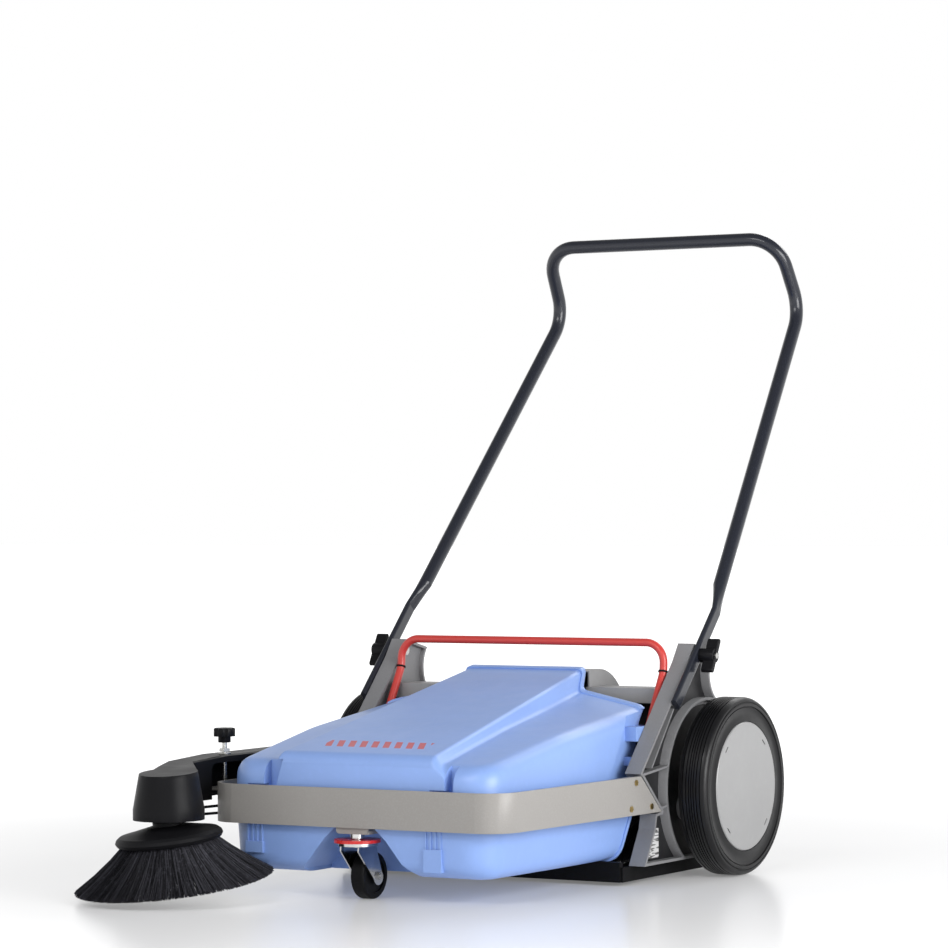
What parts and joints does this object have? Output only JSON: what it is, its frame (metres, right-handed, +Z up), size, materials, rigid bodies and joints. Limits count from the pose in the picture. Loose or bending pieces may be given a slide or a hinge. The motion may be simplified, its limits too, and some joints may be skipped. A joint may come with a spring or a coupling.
{
  "type": "walk-behind sweeper",
  "caption": "Push sweeper for floors: wheel-driven roller brush and angled side brush, removable dirt hopper with a swinging bail, front caster and folding push handle.",
  "frame": {"origin": "on the floor under the middle of the road wheels' axle", "axes": "+Z up, -Y to the front where the side brush is, +Y to the operator, +X to the operator's left"},
  "size_m": [0.8025, 1.402, 1.115],
  "materials": {
    "tyre_black": "moulded rubber, matt",
    "wheel_grey": "moulded, satin",
    "disc_silver": "smooth, satin",
    "frame_grey": "powder coat, satin",
    "band_grey": "powder coat, satin",
    "handle_dark": "powder coat, satin gloss",
    "hopper_blue": "moulded, satin",
    "bail_red": "plastic coated, semi gloss",
    "hood_grey": "moulded, satin",
    "black_plastic": "moulded, satin",
    "black_rubber": "matt",
    "bristle_black": "nylon bristle",
    "nylon_white": "machined nylon",
    "zinc_steel": "zinc plated",
    "core_wood": "turned core",
    "screw_brass": "yellow passivated",
    "caster_chrome": "bright plated",
    "ring_red": "gloss",
    "caster_black": "matt",
    "hub_black": "moulded, satin"
  },
  "bodies": {
    "chassis": {"bumper_band": "band_grey", "side_frame_left": "frame_grey", "side_frame_right": "frame_grey", "band_screws": "screw_brass", "rating_plate": "zinc_steel", "roller_hood": "hood_grey", "chamber_sill": "black_plastic", "front_lip": "black_rubber", "rear_lip": "black_rubber", "side_lips": "black_rubber", "cross_tube": "frame_grey", "stub_axles": "zinc_steel", "axle_clips": "zinc_steel", "roller_bushes": "nylon_white", "handle_bolts": "zinc_steel", "caster_bracket": "band_grey", "rod_bracket": "band_grey"},
    "wheel_left": {"tyre_left": "tyre_black", "rim_left": "wheel_grey", "hub_bush_left": "nylon_white", "hub_disc_left": "disc_silver", "ring_gear": "nylon_white"},
    "wheel_right": {"tyre_right": "tyre_black", "rim_right": "wheel_grey", "hub_bush_right": "nylon_white", "hub_disc_right": "disc_silver"},
    "roller": {"roller_shaft": "zinc_steel", "roller_core": "core_wood", "roller_bristles": "bristle_black", "roller_pinion": "nylon_white", "roller_pulley": "black_plastic"},
    "brush_arm": {"brush_arm_cover": "black_plastic", "arm_plate": "zinc_steel", "brush_spindle": "zinc_steel", "brush_nut": "zinc_steel", "idler_pin": "zinc_steel", "drive_belt": "black_rubber"},
    "idler_a": {"idler_upper": "nylon_white"},
    "idler_b": {"idler_lower": "nylon_white"},
    "side_brush": {"brush_plate": "black_plastic", "brush_bristles": "bristle_black", "brush_pulley": "black_plastic"},
    "adjuster": {"adjuster_rod": "zinc_steel", "adjuster_knob": "black_plastic", "lock_nut": "zinc_steel"},
    "handle": {"handle_tube": "handle_dark"},
    "knob_left": {"wing_knob_left": "black_plastic"},
    "knob_right": {"wing_knob_right": "black_plastic"},
    "hopper": {"hopper_shell": "hopper_blue", "bail_pins": "zinc_steel"},
    "bail": {"bail_tube": "bail_red", "bail_rings": "black_rubber"},
    "caster": {"caster_stem": "zinc_steel", "caster_ring": "ring_red", "caster_fork": "caster_chrome", "caster_axle": "zinc_steel"},
    "caster_wheel": {"caster_tyre": "caster_black", "caster_hub": "hub_black"}
  },
  "joints": [
    {"name": "wheel_left_spin", "type": "hinge", "parent": "chassis", "child": "wheel_left", "pos_m": [0, 0, 0.15], "axis": [1, 0, 0], "continuous": true},
    {"name": "wheel_right_spin", "type": "hinge", "parent": "chassis", "child": "wheel_right", "pos_m": [0, 0, 0.15], "axis": [1, 0, 0], "continuous": true},
    {"name": "roller_spin", "type": "hinge", "parent": "chassis", "child": "roller", "pos_m": [0, -0.06181, 0.11714], "axis": [1, 0, 0], "continuous": true},
    {"name": "brush_arm_tilt", "type": "hinge", "parent": "chassis", "child": "brush_arm", "pos_m": [0, -0.06181, 0.11714], "axis": [-1, 0, 0], "range_deg": [0, 0.3]},
    {"name": "side_brush_spin", "type": "hinge", "parent": "brush_arm", "child": "side_brush", "pos_m": [-0.268, -0.77, 0.105], "axis": [-0.0616, -0.0993, 0.9931], "continuous": true},
    {"name": "idler_upper_spin", "type": "hinge", "parent": "brush_arm", "child": "idler_a", "pos_m": [-0.299, -0.712, 0.138], "axis": [0, 0, 1], "continuous": true},
    {"name": "idler_lower_spin", "type": "hinge", "parent": "brush_arm", "child": "idler_b", "pos_m": [-0.299, -0.712, 0.1285], "axis": [0, 0, 1], "continuous": true},
    {"name": "adjuster_turn", "type": "hinge", "parent": "brush_arm", "child": "adjuster", "pos_m": [-0.318, -0.542, 0.2], "axis": [0, 0, 1], "range_deg": [0, 604]},
    {"name": "handle_fold", "type": "hinge", "parent": "chassis", "child": "handle", "pos_m": [0, -0.042, 0.371], "axis": [1, 0, 0], "range_deg": [0, 115]},
    {"name": "wing_knob_left_turn", "type": "hinge", "parent": "chassis", "child": "knob_left", "pos_m": [0.32, -0.042, 0.371], "axis": [1, 0, 0], "range_deg": [0, 1080]},
    {"name": "wing_knob_right_turn", "type": "hinge", "parent": "chassis", "child": "knob_right", "pos_m": [-0.32, -0.042, 0.371], "axis": [-1, 0, 0], "range_deg": [0, 1080]},
    {"name": "hopper_lift", "type": "slide", "parent": "chassis", "child": "hopper", "axis": [0, 0, 1], "range_m": [0, 0.25]},
    {"name": "bail_swing", "type": "hinge", "parent": "hopper", "child": "bail", "pos_m": [0, -0.138, 0.246], "axis": [1, 0, 0], "range_deg": [0, 85]},
    {"name": "caster_swivel", "type": "hinge", "parent": "chassis", "child": "caster", "pos_m": [0, -0.629, 0.1], "axis": [0, 0, 1], "continuous": true},
    {"name": "caster_wheel_spin", "type": "hinge", "parent": "caster", "child": "caster_wheel", "pos_m": [0, -0.595, 0.0375], "axis": [1, 0, 0], "continuous": true}
  ],
  "couplings": [
    {"joint": "roller_spin", "follows": "wheel_left_spin", "ratio": 3.8},
    {"joint": "side_brush_spin", "follows": "wheel_left_spin", "ratio": 1.9},
    {"joint": "idler_upper_spin", "follows": "wheel_left_spin", "ratio": 3.8},
    {"joint": "idler_lower_spin", "follows": "wheel_left_spin", "ratio": -3.8},
    {"joint": "adjuster_turn", "follows": "brush_arm_tilt", "ratio": 2011.5}
  ]
}
